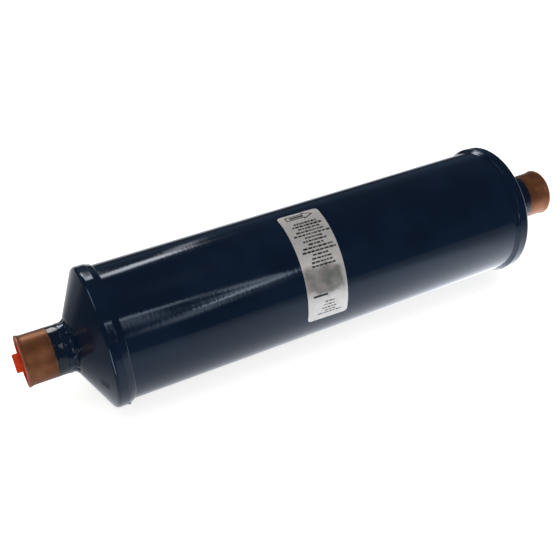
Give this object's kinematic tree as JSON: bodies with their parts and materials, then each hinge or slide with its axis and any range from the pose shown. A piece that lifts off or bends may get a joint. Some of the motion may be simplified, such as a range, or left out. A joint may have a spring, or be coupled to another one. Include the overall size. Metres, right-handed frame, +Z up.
{
  "type": "refrigeration filter drier",
  "caption": "Hermetic refrigerant filter drier: painted steel tube, welded conical caps, copper solder sockets with pull-out plugs, sealed desiccant core",
  "frame": {"origin": "on the drier's axis, halfway between the two ends", "axes": "+X along the axis from the inlet to the outlet, +Z up, and -Y the side that the label faces"},
  "size_m": [0.4074, 0.0932, 0.0932],
  "materials": {
    "blue_paint": "gloss navy blue paint on steel",
    "fitting_copper": "drawn copper, painted where it meets the cap",
    "plug_red": "moulded red polyethylene",
    "label_film": null,
    "core_desiccant": "bonded desiccant beads",
    "inner_felt": "pressed fibre",
    "inner_steel": "bare pressed steel and spring wire"
  },
  "bodies": {
    "drier": {"shell_tube": "blue_paint", "inlet_end_cap": "blue_paint", "outlet_end_cap": "blue_paint", "inlet_cap_weld": "blue_paint", "outlet_cap_weld": "blue_paint", "inlet_fitting": "fitting_copper", "outlet_fitting": "fitting_copper", "inlet_braze_ring": "blue_paint", "outlet_braze_ring": "blue_paint", "rating_label": "label_film", "core_block": "core_desiccant", "core_gasket": "inner_felt", "filter_pad": "inner_felt", "outlet_screen": "inner_steel", "support_plate": "inner_steel", "inlet_felt": "inner_felt", "spring_pan": "inner_steel", "core_spring": "inner_steel"},
    "inlet_plug": {"inlet_plug": "plug_red"},
    "outlet_plug": {"outlet_plug": "plug_red"}
  },
  "joints": [
    {"name": "inlet_plug_pull", "type": "slide", "parent": "drier", "child": "inlet_plug", "axis": [-1, 0, 0], "range_m": [0, 0.06]},
    {"name": "outlet_plug_pull", "type": "slide", "parent": "drier", "child": "outlet_plug", "axis": [1, 0, 0], "range_m": [0, 0.06]}
  ]
}
